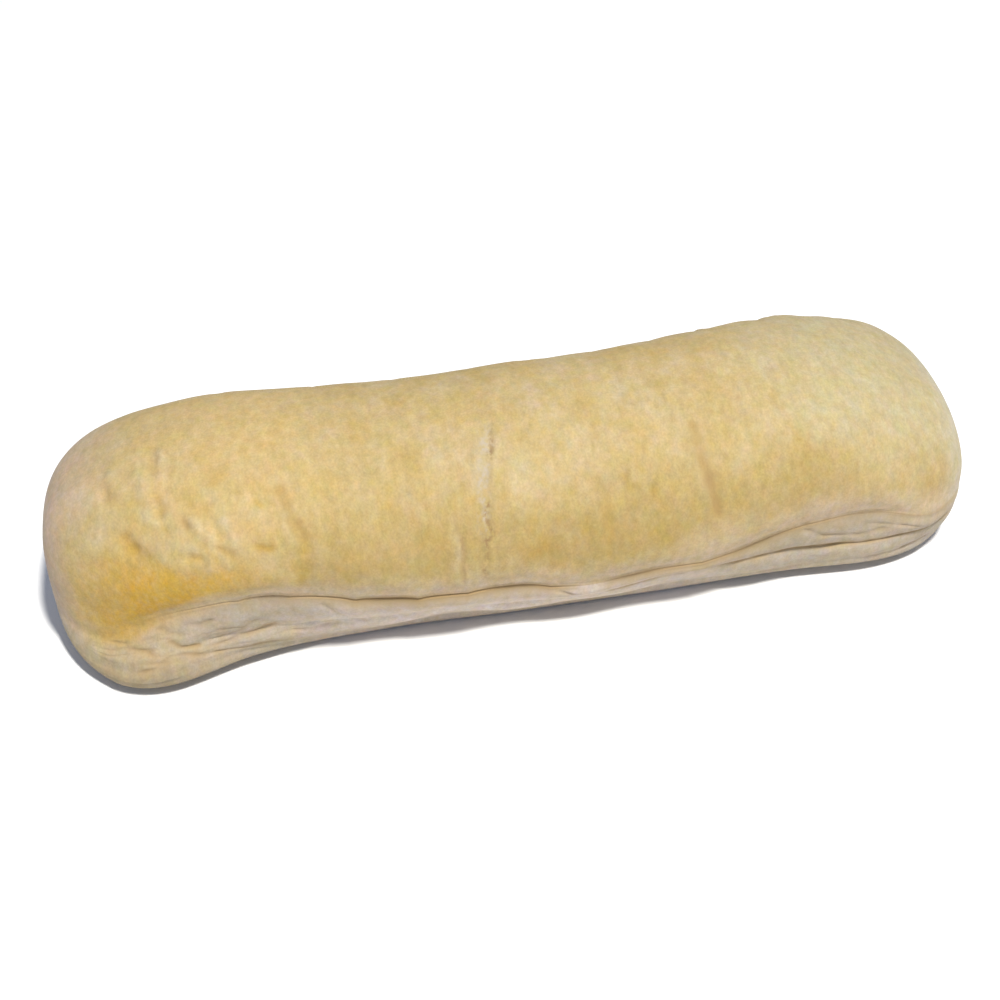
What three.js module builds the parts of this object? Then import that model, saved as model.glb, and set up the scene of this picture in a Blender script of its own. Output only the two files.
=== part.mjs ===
// A plain white panini roll, one piece of bread.
// Millimetres, +Z up, the long way along X, the front face towards -Y.
// The crown domes over a wall that is tucked in below it, and the base is flat.
import * as THREE from 'three';
import { mergeVertices } from 'three/addons/utils/BufferGeometryUtils.js';

// Driving sizes
const LENGTH = 240;
const HALF_LENGTH = LENGTH / 2;
const HEEL_RADIUS = 4;
const END_TUCK = 3;
const TIP_HEIGHT = 18.5;

// The base is level out to this share of the half length. Past it the toes lift by a share of the
// tip's height, and the middle of the base is drawn in from the tips by some millimetres.
const LEVEL_BASE = 0.75;
const TOE_LIFT = 0.05;
const BASE_DRAW = 2;

// Each profile is a row of values, at even stations from the left to the right of the roll.
// The outer stations are at this share of the half length, and profiles are level beyond them.
const STATION_REACH = 0.9;
const CREST_HEIGHT = [57, 56.2, 53.5, 53.8, 53.6, 56, 56.5];
const REACH = {
  front: [34.7, 34.5, 34, 34, 34, 33.8, 34.7],
  back: [42.7, 38, 33.8, 33.1, 33.4, 37.8, 43.4],
};
const FOOT_REACH = {
  front: [46.2, 27.4, 23, 23.8, 24.5, 25.3, 31.2],
  back: [37, 28, 26, 25, 26, 28, 37],
};
const LIP_HEIGHT = {
  front: [13.7, 23.6, 28.4, 26.6, 22.3, 21.2, 19.7, 16.3, 18.3, 19.2, 24.6, 25.2, 17.4],
  back: [26, 25.2, 24.4, 22.6, 22.4, 20.6, 21.3, 21, 22.6, 22.8, 24.6, 24.6, 26],
};

// The fold under the crown's lip, and a second crease part of the way up the wall
const FOLD_DEPTH = {
  front: [0, 1.2, 1.8, 1.6, 1, 0.9, 0],
  back: [0, 0.9, 1, 1.6, 1.8, 1.2, 0],
};
const CREASE_SHARE = {
  front: [0.55, 0.4, 0.5, 0.5, 0.36, 0.33, 0.66],
  back: [0.66, 0.33, 0.36, 0.5, 0.5, 0.4, 0.55],
};
const CREASE_DEPTH = {
  front: [0.6, 0.8, 0.3, 0, 0.8, 1, 0.6],
  back: [0.6, 1, 0.8, 0, 0.3, 0.8, 0.6],
};
const FOLD_HALF_HEIGHT = 1.3;
const FOLD_GAP = { station: 0.14, span: 0.04, closed: 0.85 };
const LIP_ROUND = 2;
const LIP_FADE = { tip: 0.05, full: 0.3 };
const LIP_RISE = 8;
const LIP_SHARE = 0.15;
const WALL_BULGE = 0.9;

// How square the form is, as the power of a superellipse: 2 is round, more is squarer
const CROWN_POWER = 2.05;
const PLAN_POWER = {
  front: { left: 2.7, right: 4 },
  back: { left: 3.7, right: 3.9 },
};
const DOME_POWER = { left: 3.7, right: 3.1 };
const FOOT_POWER = { left: 5, right: 3.9 };

// The cross-sections lean in plan near the middle, so that the seam over the crown slants
const LEAN = 0.108;
const LEAN_SPAN = 0.5;

// Relief is placed by station along the roll and by millimetres up the unrolled wall and crown.
const WALL_SPAN = 22;
const CROWN_SPAN = 50;
const SEAM = { station: -0.06, width: 2.4, depth: 0.9, fadeUp: 5 };
const SWELL = {
  height: 0.35,
  long: { along: { pitch: 57, phase: 0.4 }, up: { pitch: 41, phase: 1.1 } },
  short: { along: { pitch: 31, phase: 2 }, up: { pitch: 27, phase: 0.3 } },
};
const BLISTER = {
  station: -0.68,
  up: 55,
  alongSpan: 20,
  upSpan: 13,
  height: 0.7,
  bumps: { along: { pitch: 15, phase: 0.9 }, up: { pitch: 15, phase: 0.2 } },
};
const END_FADE = 0.12;
const DENT = { depth: 0.7, width: 3.2 };
const CREASE = { depth: 0.6, width: 2.2 };
const GROOVES = [
  { from: [-0.487, 58], to: [-0.45, 42], ...DENT },
  { from: [-0.45, 42], to: [-0.466, 28], ...DENT },
  { from: [0.195, 45], to: [0.19, 34], ...DENT },
  { from: [0.38, 58], to: [0.405, 42], ...DENT },
  { from: [0.603, 62], to: [0.595, 43], ...DENT },
  { from: [-0.118, 48], to: [-0.115, 28], ...CREASE },
  { from: [-0.756, 14], to: [-0.695, 9], ...CREASE },
  { from: [-0.841, 13], to: [-0.78, 10], ...CREASE },
  { from: [-0.835, 5], to: [-0.793, 6], ...CREASE },
  { from: [-0.77, 8], to: [-0.68, 4], ...CREASE },
  { from: [-0.773, 19], to: [-0.695, 16], ...CREASE },
  { from: [-0.64, 8], to: [-0.53, 12], ...CREASE },
  { from: [-0.4, 20], to: [-0.35, 10], ...CREASE },
  { from: [0.78, 4.5], to: [0.89, 8], ...CREASE },
];

// The net: one ring of points at each station, with these numbers of rows up half a ring
const STATIONS = 104;
const ROWS = { base: 3, heel: 2, lowerWall: 4, upperWall: 4, fold: 4, crown: 11 };
const HALF_RING = Object.values(ROWS).reduce((sum, count) => sum + count, 0);
const RING = 2 * HALF_RING;

const { clamp, smoothstep } = THREE.MathUtils;
const bell = (distance, span) => Math.exp(-((distance / span) ** 2));
const wave = (distance, { pitch, phase }) => Math.sin((2 * Math.PI * distance) / pitch + phase);

// The value of a profile at station t, which runs from -1 at the left tip to 1 at the right
function profile(values, t) {
  const spline = new THREE.SplineCurve(values.map((value) => new THREE.Vector2(0, value)));
  const share = clamp((t / STATION_REACH + 1) / 2, 0, 1);
  return spline.getPoint(share).y;
}

// How much of a size is left at station t, as the ends close
function closing(power, t) {
  const p = t < 0 ? power.left : power.right;
  return Math.max(1 - Math.abs(t) ** p, 0) ** (1 / p);
}

// The stretch of the half ring that a row is in, and the share of the way along it
function stretchAt(row) {
  let first = 0;
  for (const [name, count] of Object.entries(ROWS)) {
    if (row < first + count) return { name, share: (row - first) / count };
    first += count;
  }
  return { name: 'crown', share: 1 };
}

function foldDepth(side, t) {
  const gap = side === 'front' ? FOLD_GAP.closed * bell(t - FOLD_GAP.station, FOLD_GAP.span) : 0;
  return profile(FOLD_DEPTH[side], t) * (1 - gap);
}

// The heights and reaches that set out one side of one cross-section
function sectionSizes(side, t) {
  const reach = profile(REACH[side], t);
  const foot = profile(FOOT_REACH[side], t);
  const lipZ = profile(LIP_HEIGHT[side], t);
  const depth = foldDepth(side, t);
  const lipRound = LIP_ROUND * smoothstep(1 - Math.abs(t), LIP_FADE.tip, LIP_FADE.full);
  const lipY = reach - lipRound;
  const wallTopY = lipY - depth / 2;
  const wallTopZ = lipZ - FOLD_HALF_HEIGHT;
  const share = profile(CREASE_SHARE[side], t);
  const creaseY = foot + (wallTopY - foot) * share + WALL_BULGE - profile(CREASE_DEPTH[side], t);
  const creaseZ = HEEL_RADIUS + (wallTopZ - HEEL_RADIUS) * share;
  const wideZ = lipZ + LIP_RISE;
  const crest = profile(CREST_HEIGHT, t);
  return { reach, foot, depth, lipRound, lipY, wallTopY, wallTopZ, creaseY, creaseZ, wideZ, crest };
}

// Reach y and height z of a point on half a cross-section, before the ends close,
// and its distance up the unrolled wall and crown
const STRETCHES = {
  base: (s, share) => ({ y: (s.foot - HEEL_RADIUS) * share, z: 0, up: -1, draw: (1 - share) ** 2 }),
  heel: (s, share) => {
    const turn = (share * Math.PI) / 2;
    const y = s.foot - HEEL_RADIUS * (1 - Math.sin(turn));
    return { y, z: HEEL_RADIUS * (1 - Math.cos(turn)), up: 0 };
  },
  lowerWall: (s, share) => {
    const y = s.foot + (s.creaseY - s.foot) * share + WALL_BULGE * Math.sin(Math.PI * share);
    const z = HEEL_RADIUS + (s.creaseZ - HEEL_RADIUS) * share;
    return { y, z, up: (WALL_SPAN / 2) * share };
  },
  upperWall: (s, share) => {
    const bulge = WALL_BULGE * Math.sin(Math.PI * share);
    const y = s.creaseY + (s.wallTopY - s.creaseY) * share + bulge;
    const z = s.creaseZ + (s.wallTopZ - s.creaseZ) * share;
    return { y, z, up: (WALL_SPAN / 2) * (1 + share) };
  },
  fold: (s, share) => {
    const dip = s.depth * Math.sin(Math.PI * share) ** 2;
    const y = s.wallTopY + (s.lipY - s.wallTopY) * share - dip;
    return { y, z: s.wallTopZ + 2 * FOLD_HALF_HEIGHT * share, up: WALL_SPAN };
  },
  crown: (s, share) => {
    const up = WALL_SPAN + CROWN_SPAN * share;
    if (share <= LIP_SHARE) {
      const rise = share / LIP_SHARE;
      const y = s.reach - s.lipRound * (1 - Math.sin((rise * Math.PI) / 2));
      return { y, z: s.wideZ - (LIP_RISE - FOLD_HALF_HEIGHT) * (1 - rise), up };
    }
    const turn = (((share - LIP_SHARE) / (1 - LIP_SHARE)) * Math.PI) / 2;
    const y = s.reach * Math.max(Math.cos(turn), 0) ** (2 / CROWN_POWER);
    return { y, z: s.wideZ + (s.crest - s.wideZ) * Math.sin(turn) ** (2 / CROWN_POWER), up };
  },
};

// A point of the smooth form
function formPoint(side, t, row) {
  const { name, share } = stretchAt(row);
  const flat = STRETCHES[name](sectionSizes(side, t), share);
  const outward = side === 'front' ? -1 : 1;
  const y = outward * flat.y * closing(PLAN_POWER[side], t);
  const pastLevel = (Math.sign(t) * Math.max(Math.abs(t) - LEVEL_BASE, 0)) / (1 - LEVEL_BASE);
  const footSqueeze = closing(FOOT_POWER, pastLevel) * (1 - TOE_LIFT * Math.abs(pastLevel));
  const squeeze = flat.z > TIP_HEIGHT ? closing(DOME_POWER, t) : footSqueeze;
  const z = TIP_HEIGHT + (flat.z - TIP_HEIGHT) * squeeze;
  const low = clamp(1 - z / TIP_HEIGHT, 0, 1);
  const tuck = (END_TUCK + BASE_DRAW * (flat.draw ?? 0)) * low ** 2;
  const x = t * (HALF_LENGTH - tuck) + LEAN * y * bell(t, LEAN_SPAN);
  return { x, y, z, up: flat.up };
}

// Depth at a place of one straight groove, which fades towards its two ends
function grooveDepth(groove, t, up) {
  const [fromT, fromUp] = groove.from;
  const [toT, toUp] = groove.to;
  const start = new THREE.Vector2(fromT * HALF_LENGTH, fromUp);
  const run = new THREE.Vector2(toT * HALF_LENGTH, toUp).sub(start);
  const offset = new THREE.Vector2(t * HALF_LENGTH, up).sub(start);
  const share = clamp(offset.dot(run) / run.lengthSq(), 0, 1);
  const distance = offset.sub(run.multiplyScalar(share)).length();
  return groove.depth * bell(distance, groove.width);
}

function seamDepth(t, up) {
  const distance = (t - SEAM.station) * HALF_LENGTH;
  const reached = smoothstep(up, WALL_SPAN, WALL_SPAN + SEAM.fadeUp);
  return SEAM.depth * reached * bell(distance, SEAM.width);
}

function blisterHeight(t, up) {
  const along = (t - BLISTER.station) * HALF_LENGTH;
  const above = up - BLISTER.up;
  const patch = bell(along, BLISTER.alongSpan) * bell(above, BLISTER.upSpan);
  return BLISTER.height * patch * wave(along, BLISTER.bumps.along) * wave(above, BLISTER.bumps.up);
}

function swellHeight(t, up) {
  const along = t * HALF_LENGTH;
  const long = wave(along, SWELL.long.along) * wave(up, SWELL.long.up);
  const short = wave(along, SWELL.short.along) * wave(up, SWELL.short.up);
  return SWELL.height * (long + short);
}

// Height of the relief over the smooth form. The back carries the front's relief turned end for end.
function relief(side, t, up) {
  if (up <= 0) return 0;
  const turned = side === 'front' ? t : -t;
  const grooves = GROOVES.reduce((sum, groove) => sum + grooveDepth(groove, turned, up), 0);
  const marks = blisterHeight(turned, up) - grooves - seamDepth(t, up);
  const crownShare = clamp((WALL_SPAN + CROWN_SPAN - up) / CROWN_SPAN, 0, 1);
  const swell = swellHeight(turned, up) * crownShare;
  return (marks + swell) * smoothstep(1 - Math.abs(t), 0, END_FADE);
}

// A sphere gives the net: its poles are the tips and its circles of latitude are the stations.
function net() {
  const sphere = new THREE.SphereGeometry(1, RING, STATIONS);
  sphere.deleteAttribute('normal');
  sphere.deleteAttribute('uv');
  return mergeVertices(sphere);
}

// Side and row of a net point, by its angle round the ring from the middle of the base
function placeOnRing(x, z) {
  const turn = Math.atan2(z, -x) / (2 * Math.PI);
  const step = Math.round((turn < 0 ? turn + 1 : turn) * RING) % RING;
  return step <= HALF_RING ? { side: 'back', row: step } : { side: 'front', row: RING - step };
}

function rollGeometry() {
  const geometry = net();
  const position = geometry.getAttribute('position');
  const places = [];
  for (let i = 0; i < position.count; i += 1) {
    const t = clamp(position.getY(i), -1, 1);
    const { side, row } = placeOnRing(position.getX(i), position.getZ(i));
    const point = formPoint(side, t, row);
    places.push({ side, t, up: point.up });
    position.setXYZ(i, point.x, point.y, point.z);
  }
  geometry.computeVertexNormals();
  const normal = geometry.getAttribute('normal');
  const point = new THREE.Vector3();
  const outward = new THREE.Vector3();
  places.forEach(({ side, t, up }, i) => {
    point.fromBufferAttribute(position, i);
    outward.fromBufferAttribute(normal, i);
    point.addScaledVector(outward, relief(side, t, up));
    position.setXYZ(i, point.x, point.y, point.z);
  });
  return geometry;
}

// Moves the roll so that the middle of its box is over the origin and its base is at z = 0
function stand(geometry) {
  geometry.computeBoundingBox();
  const middle = geometry.boundingBox.getCenter(new THREE.Vector3());
  geometry.translate(-middle.x, -middle.y, -geometry.boundingBox.min.z);
  geometry.computeVertexNormals();
  return geometry;
}

const crust = new THREE.MeshStandardMaterial({ color: '#d8bc83', roughness: 0.8, metalness: 0 });
const roll = new THREE.Mesh(stand(rollGeometry()), crust);
roll.name = 'panini_roll';

const part = new THREE.Group();
part.add(roll);
export default part;
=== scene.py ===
# %% [markdown]
# # A panini roll, dressed around its CAD solid
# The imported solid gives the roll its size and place. Blender adds what a solid of about eleven thousand
# facets leaves out: the fine skin of the bread, its torn seam, and the colours of the bake.
# Sizes are given in millimetres. The finished mesh is in metres, in the solid's own frame: X along the
# roll, -Y to the front, Z up.

# %% Load the frame
import math
from collections import namedtuple

import bpy
import numpy as np
from mathutils import Matrix, Vector, noise
from mathutils.bvhtree import BVHTree


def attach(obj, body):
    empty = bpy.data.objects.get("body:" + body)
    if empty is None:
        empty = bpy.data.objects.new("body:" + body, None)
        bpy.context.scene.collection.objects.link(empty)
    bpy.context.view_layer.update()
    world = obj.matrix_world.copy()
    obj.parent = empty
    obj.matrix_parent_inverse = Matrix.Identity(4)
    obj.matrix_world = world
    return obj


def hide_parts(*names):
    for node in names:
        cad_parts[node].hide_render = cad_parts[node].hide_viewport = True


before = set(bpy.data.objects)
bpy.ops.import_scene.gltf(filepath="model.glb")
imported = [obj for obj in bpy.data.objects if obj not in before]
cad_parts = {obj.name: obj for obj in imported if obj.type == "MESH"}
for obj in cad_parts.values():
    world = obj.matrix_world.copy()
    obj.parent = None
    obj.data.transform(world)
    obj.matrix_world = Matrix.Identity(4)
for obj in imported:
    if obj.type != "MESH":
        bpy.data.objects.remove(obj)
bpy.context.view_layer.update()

MM = 0.001

# %% [markdown]
# ## The plan of the roll
# A baker rolls the dough up, tucks the edge under and lets it prove. The crown domes over a wall that
# stays paler, and the two ends close as blunt rounds. One way to model that is to sculpt it. Here the
# few sizes that drive the solid are used again, so the fine skin lies on it, or within a few
# millimetres of it at a low crease and at the toes, which follow the photograph more closely.
# A profile is a row of sizes at even stations along the roll, joined by a smooth curve.

# %% Sizes along the roll, in millimetres
LENGTH = 240
HALF_LENGTH = LENGTH / 2
HEEL_RADIUS = 4
END_TUCK = 3
TIP_HEIGHT = 18.5
LEVEL_BASE = 0.75
TOE_LIFT = 0.05
BASE_DRAW = 2
STATION_REACH = 0.9
CREST_HEIGHT = [57, 56.2, 53.5, 53.8, 53.6, 56, 56.5]
REACH = {
    "front": [34.7, 34.5, 34, 34, 34, 33.8, 34.7],
    "back": [42.7, 38, 33.8, 33.1, 33.4, 37.8, 43.4],
}
FOOT_REACH = {
    "front": [46.2, 27.4, 23, 23.8, 24.5, 25.3, 31.2],
    "back": [37, 28, 26, 25, 26, 28, 37],
}
LIP_HEIGHT = {
    "front": [13.7, 23.6, 28.4, 26.6, 22.3, 21.2, 19.7, 16.3, 18.3, 19.2, 24.6, 25.2, 17.4],
    "back": [26, 25.2, 24.4, 22.6, 22.4, 20.6, 21.3, 21, 22.6, 22.8, 24.6, 24.6, 26],
}
FOLD_DEPTH = {
    "front": [0, 1.2, 1.8, 1.6, 1, 0.9, 0],
    "back": [0, 0.9, 1, 1.6, 1.8, 1.2, 0],
}
FOLD_DARK = {
    "front": [0, 0.5, 1, 0.95, 0.85, 0.75, 0.35],
    "back": [0.25, 0.65, 0.85, 0.95, 1, 0.55, 0],
}
CREASE_SHARE = {
    "front": [0.55, 0.47, 0.4, 0.44, 0.5, 0.5, 0.5, 0.62, 0.76, 0.74, 0.47, 0.36, 0.63],
    "back": [0.66, 0.33, 0.36, 0.5, 0.5, 0.4, 0.55],
}
CREASE_DEPTH = {
    "front": [0.6, 0.8, 0.3, 0, 0.3, 0.9, 0.6],
    "back": [0.6, 1, 0.8, 0, 0.3, 0.8, 0.6],
}


def profile(values, t):
    """A profile's size at station t, which runs from -1 at the left tip to 1 at the right."""
    sizes = np.array(values, float)
    last = len(sizes) - 1
    place = np.clip((t / STATION_REACH + 1) / 2, 0, 1) * last
    first = place.astype(int)
    share = place - first
    before = sizes[np.maximum(first - 1, 0)]
    here = sizes[first]
    after = sizes[np.minimum(first + 1, last)]
    beyond = sizes[np.minimum(first + 2, last)]
    slope = (after - before) / 2
    next_slope = (beyond - here) / 2
    cubic = 2 * here - 2 * after + slope + next_slope
    square = -3 * here + 3 * after - 2 * slope - next_slope
    return ((cubic * share + square) * share + slope) * share + here


def bell(distance, span):
    """1 in the middle, falling smoothly to nothing about two spans away."""
    return np.exp(-((distance / span) ** 2))


def ease(value, low, high):
    """0 below low, 1 above high, and a smooth step between."""
    share = np.clip((value - low) / (high - low), 0, 1)
    return share * share * (3 - 2 * share)


def between(value, low, high, soft):
    """1 from low to high, fading over a soft edge at both."""
    return ease(value, low - soft, low + soft) * (1 - ease(value, high - soft, high + soft))


def ripple(distance, pitch, phase):
    return np.sin(2 * math.pi * distance / pitch + phase)


print("height of the crest at the middle:", profile(CREST_HEIGHT, np.array([0.0]))[0], "mm")

# %% [markdown]
# ## One cross-section
# Half a section is drawn from the middle of the base to the top of the crown in six stretches: base,
# rounded heel, lower wall, upper wall, the fold under the lip, and the crown. On the real roll the fold
# is a thin open crease where the crown's skin hangs over the wall, so its dip is drawn narrow.
# Each point also keeps its distance up the unrolled skin, which later says where the colours go.

# %% Half a section at every station
FOLD_HALF_HEIGHT = 1.3
FOLD_NARROW = 6
FOLD_DEEPER = 0.26
FOLD_OVERHANG = 0.1
FOLD_GAP_STATION = 0.15
FOLD_GAP_SPAN = 0.045
FOLD_GAP_CLOSED = 0.9
LIP_NICKS = {-0.6: 0.7, -0.49: 0.5, -0.352: 0.9, -0.215: 0.9, -0.108: 0.5, 0.07: 0.5, 0.385: 0.5}
LIP_NICK_SPAN = 0.018
LIP_ROUND = 2
LIP_ROUND_FADE = (0.05, 0.3)
LIP_RISE = 8
LIP_SHARE = 0.15
WALL_BULGE = 0.9
CROWN_POWER = 2.05
END_SOFT_ROWS = 18
END_SOFT_SPAN = 0.6
END_SOFT_STATIONS = (-0.85, -0.68)
END_SOFT_FROM = (3, 6)
END_SOFT_TO = (30, 38)
WALL_SPAN = 22
CROWN_SPAN = 50
TOP = WALL_SPAN + CROWN_SPAN
ROWS = {"base": 6, "heel": 6, "lower_wall": 24, "upper_wall": 24, "fold": 20, "crown": 66}
HALF_RING = sum(ROWS.values())


def lip_height(side, t):
    """The lip hangs in shallow scallops, with a small nick between one and the next."""
    turned = t if side == "front" else -t
    nicks = sum(deep * np.exp(-np.abs(turned - at) / LIP_NICK_SPAN) for at, deep in LIP_NICKS.items())
    return profile(LIP_HEIGHT[side], t) - nicks


def fold_open(side, t):
    """1 where the fold is open, and less in the one place where the crown's skin sticks to the wall."""
    turned = t if side == "front" else -t
    return 1 - FOLD_GAP_CLOSED * bell(turned - FOLD_GAP_STATION, FOLD_GAP_SPAN)


def half_section(side, t):
    """For a column of stations t: reach, height, distance up the skin, mm below the fold, its painted
    shade.
    """
    reach = profile(REACH[side], t)
    foot = profile(FOOT_REACH[side], t)
    lip_z = lip_height(side, t)
    depth = profile(FOLD_DEPTH[side], t) * fold_open(side, t)
    dark = profile(FOLD_DARK[side], t) * fold_open(side, t)
    lip_round = LIP_ROUND * ease(1 - np.abs(t), *LIP_ROUND_FADE)
    lip_y = reach - lip_round
    wall_y = lip_y - FOLD_OVERHANG * depth
    wall_z = lip_z - FOLD_HALF_HEIGHT
    crease_at = profile(CREASE_SHARE[side], t)
    crease_y = foot + (wall_y - foot) * crease_at + WALL_BULGE - profile(CREASE_DEPTH[side], t)
    crease_z = HEEL_RADIUS + (wall_z - HEEL_RADIUS) * crease_at
    wide_z = lip_z + LIP_RISE
    crest = profile(CREST_HEIGHT, t)
    share = {name: np.arange(count)[None, :] / count for name, count in ROWS.items()}
    parts = []

    def add(y, z, up):
        shape = np.broadcast_shapes(np.shape(y), np.shape(z), np.shape(up))
        values = (y, z, up, lip_z - z, dark)
        parts.append(np.stack([np.broadcast_to(v, shape) for v in values], axis=-1))

    add((foot - HEEL_RADIUS) * share["base"], 0.0, -1 + 0 * t)
    turn = share["heel"] * math.pi / 2
    add(foot - HEEL_RADIUS * (1 - np.sin(turn)), HEEL_RADIUS * (1 - np.cos(turn)), 0 * t)
    low = share["lower_wall"]
    bulge = WALL_BULGE * np.sin(math.pi * low)
    add(foot + (crease_y - foot) * low + bulge, HEEL_RADIUS + (crease_z - HEEL_RADIUS) * low,
        WALL_SPAN / 2 * low)
    high = share["upper_wall"]
    bulge = WALL_BULGE * np.minimum(2 - 2 * crease_at, 1) * np.sin(math.pi * high)
    add(crease_y + (wall_y - crease_y) * high + bulge, crease_z + (wall_z - crease_z) * high,
        WALL_SPAN / 2 * (1 + high))
    across = share["fold"]
    dip = np.sin(math.pi * across) ** (2 * FOLD_NARROW)
    add(wall_y + (lip_y - wall_y) * across - FOLD_DEEPER * depth * dip,
        wall_z + 2 * FOLD_HALF_HEIGHT * across, WALL_SPAN + 0 * t)
    crown = np.append(share["crown"], [[1.0]], axis=1)
    rise = np.minimum(crown / LIP_SHARE, 1)
    turn = np.maximum(crown - LIP_SHARE, 0) / (1 - LIP_SHARE) * math.pi / 2
    lip = reach - lip_round * (1 - np.sin(rise * math.pi / 2))
    over = np.maximum(np.cos(turn), 0) ** (2 / CROWN_POWER)
    crown_z = wide_z - (LIP_RISE - FOLD_HALF_HEIGHT) * (1 - rise)
    crown_z = crown_z + (crest - wide_z) * np.sin(turn) ** (2 / CROWN_POWER)
    add(lip * over, crown_z, WALL_SPAN + CROWN_SPAN * crown)
    return np.concatenate(parts, axis=1)


def soften_end(side, t, half):
    """Rounds off the fold where the skin runs smoothly from the wall to the crown, round one end."""
    turned = t if side == "front" else -t
    kernel = bell(np.arange(-END_SOFT_ROWS, END_SOFT_ROWS + 1) / END_SOFT_ROWS, END_SOFT_SPAN)
    reach = np.pad(half[..., :2], ((0, 0), (END_SOFT_ROWS, END_SOFT_ROWS), (0, 0)), "edge")
    count = half.shape[1]
    smooth = sum(reach[:, i:i + count] * weight for i, weight in enumerate(kernel)) / kernel.sum()
    on_end = 1 - ease(turned, *END_SOFT_STATIONS)
    share = on_end * ease(half[..., 2], *END_SOFT_FROM) * (1 - ease(half[..., 2], *END_SOFT_TO))
    softened = half.copy()
    softened[..., :2] += (smooth - half[..., :2]) * share[..., None]
    return softened


print("points round half a section:", half_section("front", np.zeros((1, 1))).shape[1])

# %% [markdown]
# ## The net over the whole roll
# A ring of points stands at each station, and the rings are joined like the hoops of a barrel. The
# stations are spaced evenly along the outline, so they crowd where the ends turn, and more closely at
# the torn seam, which is only a millimetre or two wide. A point on each tip closes the net. Near both
# ends the toes rise a little off the floor, so that a shadow shows along the whole foot.

# %% Smooth form
PLAN_POWER = {"front": (2.7, 4), "back": (3.7, 3.9)}
DOME_POWER = (3.7, 3.1)
FOOT_POWER = (5, 3.9)
TOE_RISE = 3
TOE_RISE_STATIONS = (0.36, 0.6)
TOE_SETTLE = 0.6
TOE_SETTLE_STATIONS = (0.74, 0.95)
TOE_SPREAD = 0.95
LEAN = 0.108
LEAN_SPAN = 0.5
STATIONS = 340
OUTLINE_STEPS = 20001
SEAM_STATION = -0.06
SEAM_CROWDING = 1.6
SEAM_CROWD_SPAN = 0.08


def closing(powers, t):
    """How much of a size is left at station t, as the ends close."""
    power = np.where(t < 0, powers[0], powers[1])
    return np.maximum(1 - np.abs(t) ** power, 0) ** (1 / power)


def place_stations(count):
    """Stations spaced evenly along the front's outline in plan, and closer at the seam."""
    fine = np.linspace(-1, 1, OUTLINE_STEPS)
    middle_reach = REACH["front"][len(REACH["front"]) // 2]
    closed = np.diff(closing(PLAN_POWER["front"], fine))
    outline = np.hypot(np.diff(fine) * HALF_LENGTH, closed * middle_reach)
    middle = (fine[1:] + fine[:-1]) / 2
    weight = outline * (1 + SEAM_CROWDING * bell(middle - SEAM_STATION, SEAM_CROWD_SPAN))
    walked = np.concatenate([[0], np.cumsum(weight)])
    return np.interp(np.linspace(0, walked[-1], count + 2)[1:-1], walked, fine)


def close_ends(side, t, half):
    """Points in mm of one side, after the ends have closed on the tips and the toes have risen."""
    outward = -1 if side == "front" else 1
    y = outward * half[..., 0] * closing(PLAN_POWER[side], t)
    past_level = np.sign(t) * np.maximum(np.abs(t) - LEVEL_BASE, 0) / (1 - LEVEL_BASE)
    foot_squeeze = closing(FOOT_POWER, past_level) * (1 - TOE_LIFT * np.abs(past_level))
    squeeze = np.where(half[..., 1] > TIP_HEIGHT, closing(DOME_POWER, t), foot_squeeze)
    z = TIP_HEIGHT + (half[..., 1] - TIP_HEIGHT) * squeeze
    low = np.clip(1 - z / TIP_HEIGHT, 0, 1)
    draw = np.where(half[..., 2] < 0, (1 - half[..., 0] / half[:, ROWS["base"], 0:1]) ** 2, 0)
    tuck = (END_TUCK + BASE_DRAW * draw) * low ** 2
    settled = 1 - TOE_SETTLE * ease(np.abs(t), *TOE_SETTLE_STATIONS)
    rise = TOE_RISE * ease(np.abs(t), *TOE_RISE_STATIONS) * settled * low
    y = y + outward * TOE_SPREAD * rise
    x = t * (HALF_LENGTH - tuck) + LEAN * y * bell(t, LEAN_SPAN)
    return np.stack([x, y, z + rise], axis=-1)


stations = place_stations(STATIONS)[:, None]
halves = {side: soften_end(side, stations, half_section(side, stations)) for side in ("back", "front")}
sides = {side: close_ends(side, stations, half) for side, half in halves.items()}


def join_ring(values):
    """Back from base to crest, then front from crest to base."""
    return np.concatenate([values["back"], values["front"][:, HALF_RING - 1:0:-1]], axis=1)


form = join_ring(sides)
skin = join_ring(halves)
is_front = np.arange(form.shape[1])[None, :] > HALF_RING
print("net:", form.shape[0], "rings of", form.shape[1], "points")

# %% [markdown]
# ## Two faces of one skin
# The front shows in the photograph and the back doesn't, so the back takes the front's pattern turned
# end for end. A mirror image would meet the front in a seam along the crest. Here the front's pattern
# runs on over the crest and passes slowly into the back's, so there is no line where they meet.

# %% Where each point is on the skin
Face = namedtuple("Face", "station up place")
RING = form.shape[1]
OVER_CREST = (90, 106)
END_FADE = 0.12
BACK_APART = 200.0
up = skin[..., 2]
over = np.where(is_front, up, 2 * TOP - up)
to_back = ease(over, *OVER_CREST)
end_fade = ease(1 - np.abs(stations), 0, END_FADE)
on_skin = up > 0


def face_of(station, height, apart):
    """One face's stations and heights, and a place in mm for its noise, apart from the other face's."""
    return Face(station, height, np.stack([station * HALF_LENGTH, height, apart + 0 * height], axis=-1))


front_face = face_of(stations + 0 * over, over, 0.0)
back_face = face_of(-stations + 0 * over, 2 * TOP - over, BACK_APART)


def on_both(pattern):
    """A pattern of place, as the front has it, passing over the crest into the back's."""
    return pattern(front_face) * (1 - to_back) + pattern(back_face) * to_back


def cloud(places, pitch, offset):
    """Smooth noise, about -1 to 1, with swells a pitch in mm apart. Each offset gives another pattern."""
    flat = places.reshape(-1, 3) / np.array(pitch) + offset
    return np.array([noise.noise(p) for p in flat.tolist()]).reshape(places.shape[:-1])


print("points that the back's pattern covers:", round(float(to_back.mean()), 2))

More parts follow.
